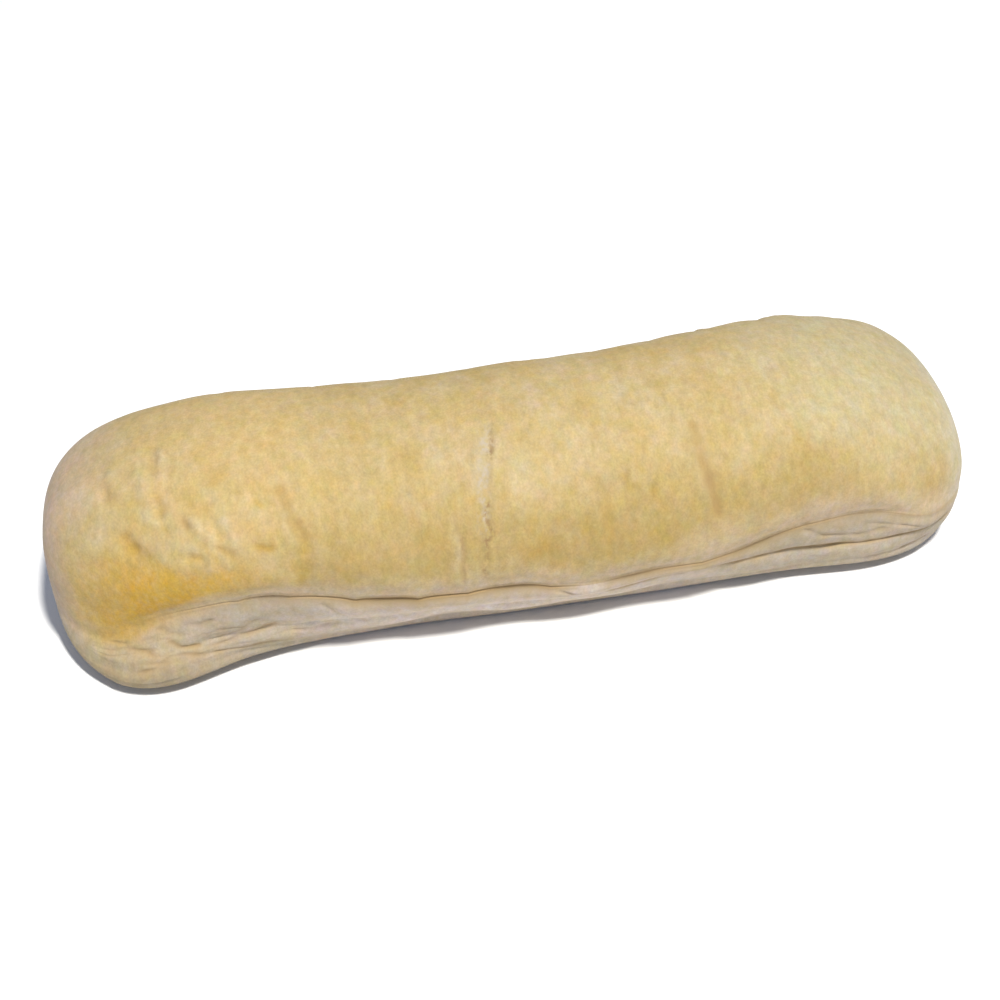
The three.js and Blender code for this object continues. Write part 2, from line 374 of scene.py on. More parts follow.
# %% [markdown]
# ## Relief of the skin
# Bread skin is never smooth: it swells, dents where it was handled, puckers near one end, and wrinkles
# where the wall sagged. Displacement in a shader would be lost in the exported model, so the relief
# moves the points themselves, along the normals of the smooth form. Soft noise gives the unevenness and
# short marks give the dents and wrinkles.

# %% Swells, puckers and fine unevenness
SWELL = 0.35
LONG_SWELL = {"along": (57, 0.4), "up": (41, 1.1)}
SHORT_SWELL = {"along": (31, 2), "up": (27, 0.3)}
PUCKER_STATION = -0.69
PUCKER_STATION_SPAN = 0.19
PUCKER_UP = 52
PUCKER_UP_SPAN = 14
PUCKER_SLANT = math.radians(62)
PUCKER_PITCH = (17, 7, 9)
FINE_PUCKER_PITCH = (7, 4, 9)
FINE_PUCKER = 0.6
CRINKLE = 0.12
CRINKLE_PITCH = 9.0
FINE_CRINKLE = 0.03
FINE_CRINKLE_PITCH = 2.6


def swells(face):
    """Broad waves of the skin, fading out towards the crest."""
    along = face.station * HALF_LENGTH
    crown_share = np.clip((TOP - face.up) / CROWN_SPAN, 0, 1)
    sizes = (LONG_SWELL, SHORT_SWELL)
    waves = [ripple(along, *size["along"]) * ripple(face.up, *size["up"]) for size in sizes]
    return sum(waves) * crown_share


def puckers(face):
    """Soft folds of loose skin, running aslant in one patch of the crown."""
    along = face.station * HALF_LENGTH
    patch = bell(face.station - PUCKER_STATION, PUCKER_STATION_SPAN)
    patch = patch * bell(face.up - PUCKER_UP, PUCKER_UP_SPAN)
    down_slope = along * math.cos(PUCKER_SLANT) - face.up * math.sin(PUCKER_SLANT)
    across_slope = along * math.sin(PUCKER_SLANT) + face.up * math.cos(PUCKER_SLANT)
    slanted = np.stack([down_slope, across_slope, face.place[..., 2]], axis=-1)
    folds = cloud(slanted, PUCKER_PITCH, 3.3) + FINE_PUCKER * cloud(slanted, FINE_PUCKER_PITCH, 8.1)
    return patch * folds


pucker = on_both(puckers)
crinkle = CRINKLE * cloud(form, CRINKLE_PITCH, 0.0) + FINE_CRINKLE * cloud(form, FINE_CRINKLE_PITCH, 31.0)
relief = SWELL * on_both(swells) + pucker + crinkle
print("relief so far, mm:", round(float(relief.min()), 2), "to", round(float(relief.max()), 2))

# %% Dents, ridges and wrinkles, each a path of places: station along and mm up the skin
# A mark's dark share is painted shade and its pale share a painted highlight; its gold is baked colour.
Mark = namedtuple("Mark", "path deep wide dark gold pale")


def dent(*path, deep=0.65, wide=1.3, gold=0.6, dark=0.0):
    """A soft dip in the crown, where the skin baked darker gold; its dark share is painted shade."""
    return Mark(path, deep, wide, dark, gold, 0.0)


def ridge(*path, high=0.5, wide=1.8, pale=0.7):
    """A soft raised fold of skin, with a painted highlight that makes it paler than the dips beside it."""
    return Mark(path, -high, wide, 0.0, 0.0, pale)


def wrinkle(*path, deep=0.4, wide=0.75, dark=0.5):
    """A narrow crease in the wall, dark because little light gets in."""
    return Mark(path, deep, wide, dark, 0.0, 0.0)


MARKS = [
    dent((-0.486, 57), (-0.474, 53), (-0.458, 48), (-0.449, 44),
         deep=1.0, wide=1.1, gold=0.5, dark=0.25),
    dent((-0.446, 45), (-0.444, 40), (-0.45, 34), deep=0.5, wide=2.2, gold=0.5),
    dent((-0.456, 31), (-0.462, 27), deep=0.3, wide=1.2, gold=0.8),
    dent((-0.535, 41.5), (-0.515, 41), wide=1.5, gold=0.9),
    dent((-0.617, 42), (-0.6, 39.5), wide=1.2, gold=0.9, dark=0.15),
    dent((-0.808, 50), (-0.798, 47), wide=1.4, gold=0.9),
    dent((-0.742, 60), (-0.732, 54), wide=1.4, gold=0.5),
    dent((-0.686, 51), (-0.68, 50), deep=0.4, wide=0.9, gold=0.3, dark=0.3),
    dent((-0.845, 66), (-0.838, 63), wide=1.7, gold=0.5),
    dent((-0.64, 54), (-0.613, 45.5), deep=0.5, wide=1.2, gold=0.3),
    dent((-0.68, 41), (-0.665, 39.5), deep=0.4, gold=0.25),
    dent((-0.572, 56.6), (-0.566, 55.4), deep=0.4, wide=0.9, gold=0.6),
    dent((-0.528, 54.4), (-0.522, 53), deep=0.4, wide=0.9, gold=0.6),
    dent((-0.506, 54.2), (-0.501, 53), deep=0.3, wide=0.8, gold=0.5),
    dent((-0.738, 74), (-0.734, 66.5), deep=0.6, wide=1.2, gold=0.3),
    dent((-0.726, 49.5), (-0.716, 47.5), deep=0.4, wide=1, gold=0.4),
    ridge((-0.722, 72), (-0.718, 64), high=0.35),
    ridge((-0.66, 46), (-0.638, 36), high=0.4, wide=1.4, pale=0.5),
    ridge((-0.6, 50), (-0.585, 43), high=0.4, wide=1.4, pale=0.5),
    ridge((-0.768, 67), (-0.757, 60), (-0.742, 52)),
    ridge((-0.715, 53), (-0.69, 46), (-0.66, 43)),
    ridge((-0.665, 52), (-0.65, 46)),
    ridge((-0.635, 46), (-0.622, 41), (-0.605, 36.5), wide=1.4),
    ridge((-0.492, 54), (-0.475, 47), (-0.466, 43), wide=1.4, pale=0.4),
    ridge((-0.82, 69), (-0.8, 62), pale=0.35),
    dent((0.374, 59), (0.39, 53), (0.398, 47), (0.406, 42), (0.41, 37), wide=0.8, gold=0.9, dark=0.65),
    ridge((0.365, 58), (0.382, 51), (0.391, 44), high=0.25, wide=1.2, pale=0.35),
    dent((0.192, 46), (0.193, 40), (0.192, 33), deep=0.5, wide=1, gold=0.65, dark=0.15),
    dent((0.228, 51), (0.236, 48), wide=1.4, gold=0.75),
    dent((0.285, 47), (0.302, 41), deep=0.3, gold=0.35),
    dent((0.56, 64), (0.578, 57), (0.6, 46), deep=0.4, gold=0.3),
    dent((0.145, 41), (0.15, 35), deep=0.25, gold=0.4),
    dent((0.025, 35), (0.055, 35.5), deep=0, wide=3, gold=0.6),
    dent((-0.03, 51), (0.0, 50), deep=0, wide=2.5, gold=0.45),
    dent((-0.27, 50), (-0.24, 49), deep=0, wide=3, gold=0.35),
    dent((0.3, 36), (0.33, 34), deep=0, wide=3, gold=0.4),
    wrinkle((-0.122, 47), (-0.112, 38), (-0.117, 27), deep=0.3, wide=0.5, dark=0.3),
    ridge((-0.127, 46), (-0.121, 38), (-0.126, 27), high=0.2, wide=1, pale=0.5),
    wrinkle((-0.88, 21), (-0.856, 18.8), deep=0.4, dark=0.35),
    wrinkle((-0.815, 17.6), (-0.79, 17.2), deep=0.4, dark=0.3),
    wrinkle((-0.772, 19.6), (-0.757, 17), (-0.74, 16.2), deep=0.4, dark=0.4),
    wrinkle((-0.71, 18.4), (-0.685, 17.8), (-0.66, 18.3), deep=0.4, dark=0.3),
    wrinkle((-0.757, 14), (-0.735, 11.5), (-0.705, 9.6), deep=0.45, wide=0.7, dark=0.65),
    wrinkle((-0.685, 8.2), (-0.628, 9.2), (-0.58, 10.2), (-0.533, 12.8), deep=0.4, wide=0.7, dark=0.55),
    wrinkle((-0.847, 15.8), (-0.82, 13), (-0.79, 10.4), deep=0.4, wide=0.7, dark=0.5),
    wrinkle((-0.795, 7.6), (-0.772, 8.7), (-0.736, 8.2), (-0.69, 5.5), (-0.657, 4.3), (-0.54, 3.8),
            deep=0.35, wide=0.7, dark=0.45),
    wrinkle((-0.83, 5), (-0.785, 6), deep=0.3, dark=0.35),
    wrinkle((-0.65, 14.5), (-0.61, 14), (-0.57, 15.5), deep=0.3, dark=0.2),
    wrinkle((-0.5, 8), (-0.45, 7.5), (-0.4, 9), deep=0.3, dark=0.2),
    wrinkle((-0.42, 21), (-0.385, 14), (-0.34, 9.5), deep=0.3, dark=0.15),
    wrinkle((0.1, 21), (0.112, 18), wide=0.9, dark=0.5),
    wrinkle((0.2, 11), (0.5, 11), (0.75, 11), (0.94, 11), deep=0.4, wide=0.7, dark=0.8),
    wrinkle((0.85, 1), (0.875, 2), (0.9, 3.6), deep=0.5, dark=0.5),
    wrinkle((0.6, 20.8), (0.65, 17), (0.73, 15.2), (0.78, 16.5), deep=0.4, dark=0.35),
    wrinkle((0.74, 18.5), (0.8, 18), (0.86, 17), deep=0.3, dark=0.25),
]


def distance_to(path, along_at, up_at):
    """Distance in mm on the unrolled skin to the nearest stretch of a path."""
    places = np.array(path) * (HALF_LENGTH, 1)
    nearest = np.full(along_at.shape, np.inf)
    for start, end in zip(places[:-1], places[1:]):
        run = end - start
        offset = np.stack([along_at, up_at], axis=-1) - start
        share = np.clip(offset @ run / (run @ run), 0, 1)
        nearest = np.minimum(nearest, np.linalg.norm(offset - share[..., None] * run, axis=-1))
    return nearest


MARK_WANDER = 1.1
MARK_WANDER_PITCH = 6.0
MARK_UNEVEN = 0.8
MARK_UNEVEN_PITCH = 4.0
MARK_STRENGTH = (0.45, 1.35)
WARM_REACH = 2
WARM_SHARE = 0.8


def marks_on(face):
    """Depth, painted shade, gold, painted highlight and warm shade of the marks, which wander as real ones
    do.
    """
    along_at = face.place[..., 0] + MARK_WANDER * cloud(face.place, MARK_WANDER_PITCH, 7.0)
    up_at = face.up + MARK_WANDER * cloud(face.place, MARK_WANDER_PITCH, 13.0)
    uneven = np.clip(1 + MARK_UNEVEN * cloud(face.place, MARK_UNEVEN_PITCH, 17.0), *MARK_STRENGTH)
    depth, dark, gold, pale, shade = (np.zeros(face.up.shape) for _ in range(5))
    for mark in MARKS:
        away = distance_to(mark.path, along_at, up_at)
        strength = bell(away, mark.wide) * uneven
        halo = bell(away, WARM_REACH * mark.wide) * uneven
        depth = depth + mark.deep * strength
        dark = np.maximum(dark, mark.dark * strength)
        gold = np.maximum(gold, mark.gold * strength)
        pale = np.maximum(pale, mark.pale * strength)
        shade = np.maximum(shade, WARM_SHARE * mark.dark * halo)
    return np.stack([depth, dark, gold, pale, shade])


mark_depth, mark_dark, stain, painted_ridge_highlight, warm = on_both(marks_on) * on_skin
relief = relief - mark_depth
print("marks:", len(MARKS), "on each face")

# %% Warm painted shade in the fold and in the slack skin below it
LIP_EDGE = 0.8
TUCK_SPAN = 4
TUCK_POWER = 1.5
CRUMPLE_DEEP = 0.3
SLACK_DEEP = 0.5
CRUMPLE_LINE = 0.13
CRUMPLE_SHADE = 0.35
CRUMPLE_PITCH = (12, 3.2, 9)
BREAK_PITCH = (9, 5, 9)
SLACK_PITCH = (13, 4.4, 9)
SLACK_LEFT = (-0.62, -0.4)
SLACK_RIGHT = (0.5, 0.7)
SLACK_RIGHT_SHARE = 0.6
SLACK_FROM = (1, 5)
SLACK_TO = (14, 20)
SLACK_END = (0.03, 0.12)
FOLD_LINE = 0.8
FOLD_LINE_SHADE = 0.9


def crumples(face):
    """Creases and soft folds of slack skin near both ends. A crease is a zero line of a noise."""
    on_right = SLACK_RIGHT_SHARE * ease(face.station, *SLACK_RIGHT)
    slack = np.maximum(1 - ease(face.station, *SLACK_LEFT), on_right)
    on_wall = ease(face.up, *SLACK_FROM) * (1 - ease(face.up, *SLACK_TO))
    on_wall = on_wall * ease(1 - np.abs(face.station), *SLACK_END)
    lines = bell(cloud(face.place, CRUMPLE_PITCH, 41.0), CRUMPLE_LINE)
    broken = np.clip(0.5 + 1.3 * cloud(face.place, BREAK_PITCH, 47.0), 0, 1)
    folds = cloud(face.place, SLACK_PITCH, 53.0)
    return np.stack([slack * on_wall * lines * broken, slack * on_wall * folds])


crumple, slack_fold = on_both(crumples) * on_skin
relief = relief - CRUMPLE_DEEP * crumple + SLACK_DEEP * slack_fold
below_fold = skin[..., 3]
fold_dark = skin[..., 4]
# Painted shade under the overhanging lip, fading down the wall, with the marks' warm halos and the
# crumples.
under_lip = np.exp(-(np.maximum(below_fold, 0) / TUCK_SPAN) ** TUCK_POWER)
tuck = np.where(below_fold > 0, under_lip, bell(below_fold, LIP_EDGE)) * fold_dark
tuck = np.maximum(tuck, np.maximum(warm, CRUMPLE_SHADE * crumple))
# Painted shade: a dark line along the fold, joined by the dark shares of the marks and crumples.
fold_line = bell(below_fold, FOLD_LINE) * fold_dark
crease = np.maximum(mark_dark, np.maximum(CRUMPLE_SHADE * crumple, FOLD_LINE_SHADE * fold_line))
print("mean crumple of the skin:", round(float(crumple.mean()), 3))

# %% Torn seam over the crown
SEAM_SLOPE = 0.0007
SEAM_MIDDLE_UP = 46
SEAM_WIDE = 1.7
SEAM_DEEP = 0.45
SEAM_SMOOTH_SHARE = 0.4
SEAM_TOP = 66
SEAM_FOOT = 41
SEAM_FADE = 3
SEAM_GROOVE_FROM = (WALL_SPAN, WALL_SPAN + 6)
SEAM_GROOVE_TO = (SEAM_TOP + 2, SEAM_TOP + 12)
SEAM_WANDER_PITCH = (9, 5, 9)
SEAM_LIP_HIGH = 0.25
SEAM_LIP_AWAY = 2.6
SEAM_LIP_SPAN = 0.9
CRUMB_PITCH = (1.8, 2.6, 3)
CRUMB_WIDER = 0.4
CRUMB_WIDER_UP = (50, 58)
CRUMB_EASE = 0.2
PIT_EDGE = 0.9
PIT_SPAN = 0.75
PIT_DEEP = 0.2
PIT_PITCH = (4, 3.4, 4)
PIT_STRAY = 1.2
PIT_STRAY_PITCH = (7, 4, 7)
PIT_FROM = (WALL_SPAN + 4, WALL_SPAN + 10)
SECOND_SEAM = -0.113
SECOND_SEAM_SPAN = 0.5
SECOND_SEAM_UP = (29, 40)
SECOND_SEAM_STRAY = 0.6


def seam_on(face):
    """Depth, pale crumb and brown pits of the place where the skin tore as the roll rose."""
    seam_station = SEAM_STATION + SEAM_SLOPE * (face.up - SEAM_MIDDLE_UP)
    beside = (face.station - seam_station) * HALF_LENGTH + cloud(face.place, SEAM_WANDER_PITCH, 3.0)
    reach = ease(face.up, *SEAM_GROOVE_FROM) * (1 - ease(face.up, *SEAM_GROOVE_TO))
    tear = between(face.up, SEAM_FOOT, SEAM_TOP, SEAM_FADE)
    flaky = np.clip(0.55 + 1.8 * cloud(face.place, CRUMB_PITCH, 11.0), 0, 1.2)
    wide = SEAM_WIDE * (1 + CRUMB_WIDER * ease(face.up, *CRUMB_WIDER_UP))
    pitted = np.clip(0.5 + 2.2 * cloud(face.place, PIT_PITCH, 29.0), 0, 1)
    pit_reach = ease(face.up, *PIT_FROM) * (1 - ease(face.up, SEAM_TOP - SEAM_FADE, SEAM_TOP + SEAM_FADE))
    astray = PIT_STRAY * cloud(face.place, PIT_STRAY_PITCH, 37.0)
    pits = bell(beside - PIT_EDGE + astray, PIT_SPAN) * pit_reach * pitted
    second = (face.station - SECOND_SEAM) * HALF_LENGTH + SECOND_SEAM_STRAY * astray
    second_reach = between(face.up, *SECOND_SEAM_UP, SEAM_FADE)
    pits = np.maximum(pits, bell(second, SECOND_SEAM_SPAN) * second_reach * pitted)
    raised_lip = SEAM_LIP_HIGH * bell(np.abs(beside) - SEAM_LIP_AWAY, SEAM_LIP_SPAN) * tear
    roughness = SEAM_SMOOTH_SHARE + (1 - SEAM_SMOOTH_SHARE) * tear * flaky
    depth = SEAM_DEEP * bell(beside, SEAM_WIDE) * reach * roughness + PIT_DEEP * pits - raised_lip
    crumb = bell(beside + CRUMB_EASE, wide) * tear * np.minimum(flaky + CRUMB_EASE, 1)
    return np.stack([depth, crumb, pits])


NORMAL_ROWS = 12
seam_depth, torn, pits = on_both(seam_on) * on_skin
relief = relief - seam_depth


def unit(vectors):
    return vectors / np.maximum(np.linalg.norm(vectors, axis=-1, keepdims=True), 1e-9)


def normals_of(points):
    """Outward normals of the net, evened out round the ring, so that a lip and its fold move together."""
    length_way = np.gradient(points, axis=0)
    ring_way = np.roll(points, -1, axis=1) - np.roll(points, 1, axis=1)
    normal = unit(np.cross(ring_way, length_way))
    rows = range(-NORMAL_ROWS, NORMAL_ROWS + 1)
    return unit(sum(np.roll(normal, row, axis=1) for row in rows))


points = form + normals_of(form) * (relief * end_fade * on_skin)[..., None]
print("relief, mm:", round(float(relief.min()), 2), "to", round(float(relief.max()), 2))

# %% [markdown]
# ## The mesh
# The net becomes one closed mesh: quads between the rings and a fan of triangles on each tip. It is put
# in the solid's box, and its distance from the solid is measured to show how closely the two agree.

# %% Build the skin
tips = np.array([[-HALF_LENGTH, 0, TIP_HEIGHT], [HALF_LENGTH, 0, TIP_HEIGHT]])
vertices = np.concatenate([points.reshape(-1, 3), tips])
lowest = vertices.min(axis=0)
highest = vertices.max(axis=0)
middle = (lowest + highest) / 2
stand = np.array([-middle[0], -middle[1], -lowest[2]])
vertices = (vertices + stand) * MM
grid = np.arange(STATIONS * RING).reshape(STATIONS, RING)
beside = np.roll(grid, -1, axis=1)
quads = np.stack([grid[:-1], beside[:-1], beside[1:], grid[1:]], axis=-1).reshape(-1, 4)
left_tip = STATIONS * RING
right_tip = left_tip + 1
fans = [(left_tip, beside[0, i], grid[0, i]) for i in range(RING)]
fans += [(right_tip, grid[-1, i], beside[-1, i]) for i in range(RING)]
mesh = bpy.data.meshes.new("panini_crust")
mesh.from_pydata(vertices.tolist(), [], quads.tolist() + fans)
mesh.validate()
mesh.shade_smooth()
roll = bpy.data.objects.new("panini_crust", mesh)
bpy.context.scene.collection.objects.link(roll)
print("skin:", len(mesh.vertices), "points,", 2 * len(quads) + len(fans), "triangles")

# %% Compare it with the solid
GAP_STEP = 7
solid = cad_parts["panini_roll"].data
solid_tree = BVHTree.FromPolygons([v.co for v in solid.vertices], [p.vertices for p in solid.polygons])
gaps = np.array([solid_tree.find_nearest(v)[3] for v in vertices[::GAP_STEP].tolist()]) / MM
print("mm from the solid: mean", round(float(gaps.mean()), 2), "most", round(float(gaps.max()), 2))

# %% [markdown]
# ## Where the oven browned it
# Heat reaches the crown first, so it turns straw to gold, deepest low on its flank and at one corner.
# The wall is shaded by the crown and by its neighbours on the tray, so it stays pale and a little pink.
# These amounts are kept on the mesh as named attributes that the material mixes by. A painted picture
# would do it too, but a formula of place keeps its edge sharp at any size. Some amounts paint light and
# shade instead: a pool of light on the left of the crown, highlights on raised folds, and shade along
# the foot, under the lip, in the fold, in the creases and in the dips.

# %% Bake attributes
def keep(name, values):
    """One number per point, as a named attribute of the mesh. The two tips take their rings' mean."""
    rings = np.clip(np.broadcast_to(values, (STATIONS, RING)), 0, 1)
    full = np.concatenate([rings.ravel(), [rings[0].mean(), rings[-1].mean()]])
    mesh.attributes.new(name, "FLOAT", "POINT").data.foreach_set("value", full.astype(np.float32))
    print("attribute", name, "mean", round(float(full.mean()), 3), "most", round(float(full.max()), 2))


BAKE_PATCH = 14.0
BAKE_SPECKLE = 3.0
EDGE_WOBBLE_UP = (3.0, 1.2)
EDGE_WOBBLE_ALONG = (0.05, 0.02)
CORNER_WOBBLE_UP = (6, 3)
WALL_LEFT_SHARE = 0.6
WALL_LEFT = (-0.85, -0.6)
WALL_SOFT = (-0.75, -0.5)
WALL_MIDDLE = -0.05
WALL_END_AWAY = (0.25, 0.6)
LIP_UP = {"foot": 22, "top": 27, "middle": 5, "right": 7}
LIP_MIDDLE = (-0.7, -0.4)
LIP_RIGHT = (0.2, 0.5)
LIP_LEFT = (-0.86, -0.62)
FLANK_UP = (30, 49, 7)
FLANK_STATIONS = (-0.5, 0.72, 0.14)
CORNER_LEFT = -0.94
CORNER_RIGHT = -0.58
CORNER_SOFT = 0.14
CORNER_NARROWS = 0.16
CORNER_NARROW_HIGH = (30, 48)
CORNER_NARROW_LOW = (18, 28)
CORNER_TOP = (32, 58)
CORNER_FOOT = (12, 29)
DRY_STATIONS = (0.42, 0.72)
DRY_UP = (32, 58)
PAINTED_LIGHT_STATIONS = (-0.78, -0.42, 0.12)
PAINTED_LIGHT_UP = (36, 48)
LEFT_LOW = (0.65, 0.82)
FOOT_UP = (1, 6)
FOOT_LEFT_HIGHER = 12
FOOT_RIGHT = (0.18, 0.42)
FOOT_SHARE = 0.55
LEFT_TIP = (-0.99, -0.92)
LEFT_TIP_WIDER = 0.15
LEFT_TIP_UP = (50, 68)
RIGHT_TIP = (0.9, 0.985)

# Pale spots: share, station and its span, mm up the skin and its span
SCUFFS = ((0.9, 0.025, 0.05, 53, 7), (0.7, 0.13, 0.025, 60, 2.5))
SEAM_BLOOM = (0.35, -0.085, 0.035, 29, 6)


def spot(at, up_at, share, station, station_span, middle_up, up_span):
    """A soft spot of this share on the skin."""
    return share * (bell(at - station, station_span) * bell(up_at - middle_up, up_span))


def bake_on(face):
    """Each region of the bake by name: 1 where it is full, with uneven edges."""
    patchy = cloud(face.place, BAKE_PATCH, 19.0)
    speckle = cloud(face.place, BAKE_SPECKLE, 23.0)
    edge_up = face.up + EDGE_WOBBLE_UP[0] * patchy + EDGE_WOBBLE_UP[1] * speckle
    edge_at = face.station + EDGE_WOBBLE_ALONG[0] * patchy + EDGE_WOBBLE_ALONG[1] * speckle
    corner_up = face.up + CORNER_WOBBLE_UP[0] * patchy + CORNER_WOBBLE_UP[1] * speckle
    lip_top = LIP_UP["top"] + LIP_UP["middle"] * ease(face.station, *LIP_MIDDLE)
    lip_top = lip_top + LIP_UP["right"] * ease(face.station, *LIP_RIGHT)
    narrowed = ease(face.up, *CORNER_NARROW_HIGH) + (1 - ease(face.up, *CORNER_NARROW_LOW))
    corner = between(edge_at, CORNER_LEFT, CORNER_RIGHT - CORNER_NARROWS * narrowed, CORNER_SOFT)
    left_low = ease(-edge_at, *LEFT_LOW)
    foot = 1 - ease(edge_up, FOOT_UP[0], FOOT_UP[1] + FOOT_LEFT_HIGHER * left_low)
    foot = foot * (1 - ease(edge_at, *FOOT_RIGHT)) * (FOOT_SHARE + (1 - FOOT_SHARE) * left_low)
    left_tip = LEFT_TIP[1] + LEFT_TIP_WIDER * ease(face.up, *LEFT_TIP_UP)
    scuffed = sum(spot(edge_at, edge_up, *scuff) for scuff in SCUFFS)
    return {
        "wall": WALL_LEFT_SHARE + (1 - WALL_LEFT_SHARE) * ease(edge_at, *WALL_LEFT),
        "wall_soft": 1 - ease(edge_at, *WALL_SOFT),
        "wall_end": ease(np.abs(edge_at - WALL_MIDDLE), *WALL_END_AWAY),
        # Painted shade along the foot, reaching higher at the left end.
        "foot": foot,
        # A painted pool of light on the left of the crown.
        "bright": between(edge_at, *PAINTED_LIGHT_STATIONS) * ease(edge_up, *PAINTED_LIGHT_UP),
        "lip": (1 - ease(edge_up, LIP_UP["foot"], lip_top)) * ease(edge_at, *LIP_LEFT),
        "flank": between(edge_up, *FLANK_UP) * between(edge_at, *FLANK_STATIONS),
        "corner": corner * (1 - ease(edge_up, *CORNER_TOP)) * ease(corner_up, *CORNER_FOOT),
        "dry": ease(edge_at, *DRY_STATIONS) * ease(edge_up, *DRY_UP),
        "left_end": 1 - ease(face.station, LEFT_TIP[0], left_tip),
        "right_end": ease(face.station, *RIGHT_TIP),
        "cream_and_highlights": scuffed + spot(face.station, face.up, *SEAM_BLOOM),
    }


WALL_EDGE = 0.3
WALL_EDGE_SOFT = 5
END_FACE = (0.9, 0.98)
FOOT_HEIGHT = (8, 14)
BASE_HEIGHT = (0.5, 3)
PUCKER_HIGHLIGHT = 1.6
front_bake = bake_on(front_face)
back_bake = bake_on(back_face)
bake = {name: front_bake[name] * (1 - to_back) + back_bake[name] * to_back for name in front_bake}
height = form[..., 2]
end_face = ease(np.abs(stations), *END_FACE)
wall_edge = WALL_EDGE + WALL_EDGE_SOFT * np.maximum(bake.pop("wall_soft"), end_face)
bake["wall"] = bake["wall"] * ease(below_fold, -WALL_EDGE, wall_edge)
bake["foot"] = bake["foot"] * (1 - ease(height, *FOOT_HEIGHT))
# Painted highlights on the ridges and on the raised puckers join the pale spots.
bake["cream_and_highlights"] = bake["cream_and_highlights"] + painted_ridge_highlight + PUCKER_HIGHLIGHT * np.maximum(pucker, 0)
# The puckers' dips take painted shade in gold, beside the dents' gold stains.
bake["stain"] = stain + np.maximum(-pucker, 0)
bake["underside"] = (up < 0) * (1 - ease(height, *BASE_HEIGHT))
bake.update(crease=crease, tuck=tuck, torn=torn, pits=pits)
for name, values in bake.items():
    keep(name, values)

# %% [markdown]
# ## Baked crust
# The material is a soft white-bread crust: a dry matte skin of baked starch, straw to gold, with a fine
# grain and faint streaks across the roll, where the dough was stretched round it. To the eye it is
# soft, with no gloss, a gentle mottle of yellow and pink, and a dusty edge where it turns away.
# Its colours are given as sRGB values and turned to linear by one function.

# %% Helpers for shader nodes
NOISE_RANGE = (0.3, 0.7)


def linear(hex_colour):
    """An sRGB hex colour as the linear RGBA that shader sockets take."""
    channels = [int(hex_colour[i:i + 2], 16) / 255 for i in (1, 3, 5)]
    return [c / 12.92 if c <= 0.04045 else ((c + 0.055) / 1.055) ** 2.4 for c in channels] + [1.0]


def node(tree, kind, settings=None, **links):
    """Adds a node. Links go to inputs by name or number: a socket is joined, and a value is set."""
    made = tree.nodes.new(kind)
    for name, value in (settings or {}).items():
        setattr(made, name, value)
    for name, value in links.items():
        numbered = name[1:].isdigit()
        socket = made.inputs[int(name[1:]) if numbered else name.replace("_", " ")]
        if isinstance(value, bpy.types.NodeSocket):
            tree.links.new(value, socket)
        else:
            socket.default_value = value
    return made


def mix(tree, amount, first, second, blend="MIX"):
    """The first colour passing into the second by an amount."""
    settings = {"data_type": "RGBA", "blend_type": blend}
    return node(tree, "ShaderNodeMix", settings, _0=amount, _6=first, _7=second).outputs[2]


def per_metre(size_mm):
    """Texture scale for features of this size."""
    return 1 / (size_mm * MM)


crust = bpy.data.materials.new("baked_crust")
crust.use_nodes = True
tree = crust.node_tree
tree.nodes.clear()
place = node(tree, "ShaderNodeTexCoord").outputs["Object"]


def times(first, second):
    return node(tree, "ShaderNodeMath", {"operation": "MULTIPLY"}, _0=first, _1=second).outputs[0]


def amount(name, share=1.0):
    """A share of one of the mesh's attributes."""
    return times(node(tree, "ShaderNodeAttribute", {"attribute_name": name}).outputs["Fac"], share)


def stretch(value, low, high, new_low=0.0, new_high=1.0):
    """Moves values between low and high to new ones."""
    return node(tree, "ShaderNodeMapRange", _0=value, _1=low, _2=high, _3=new_low, _4=new_high).outputs[0]


def clouds(along_mm, across_mm, detail=2.0):
    """Noise with features of these sizes along and across the roll, spread to run from 0 to 1."""
    scale = (per_metre(along_mm), per_metre(across_mm), per_metre(across_mm))
    scaled = node(tree, "ShaderNodeVectorMath", {"operation": "MULTIPLY"}, _0=place, _1=scale).outputs[0]
    texture = node(tree, "ShaderNodeTexNoise", Vector=scaled, Scale=1.0, Detail=detail)
    return stretch(texture.outputs["Fac"], *NOISE_RANGE)


print("a mid grey as linear light:", [round(c, 3) for c in linear("#808080")])

# %% Colours of the crust
PALE_STRAW = linear("#bcab8c")
GOLD_STRAW = linear("#b7a072")
DRY_STRAW = linear("#b9ad92")
PAINTED_LIGHT_STRAW = linear("#c2ab81")
FLANK_GOLD = linear("#ac9769")
CORNER_GOLD = linear("#c69f43")
STAIN_AND_DIP_SHADE = linear("#b0934f")
CREAM_AND_HIGHLIGHT = linear("#bfb197")
LIP_BEIGE = linear("#c6b3a2")
LEFT_END = linear("#c0ac9f")
RIGHT_END = linear("#c3bbad")
WALL_PINK = linear("#cabfc1")
WALL_BEIGE = linear("#b4a9a2")
TORN_CRUMB = linear("#afa28d")
PAINTED_CREASE_SHADE = linear("#8e7350")
PAINTED_TUCK_SHADE = linear("#a99064")
PIT_BROWN = linear("#8b6f4c")
PAINTED_FOOT_SHADE = linear("#a29583")
BASE_GOLD = linear("#b0945e")
PEACH_TINT = linear("#fffbfc")
LEAF_TINT = linear("#fafefb")
WHITE_TINT = linear("#ffffff")
SHADE_TINT = linear("#f8f8f9")
GOLD_TINT = linear("#fefbec")

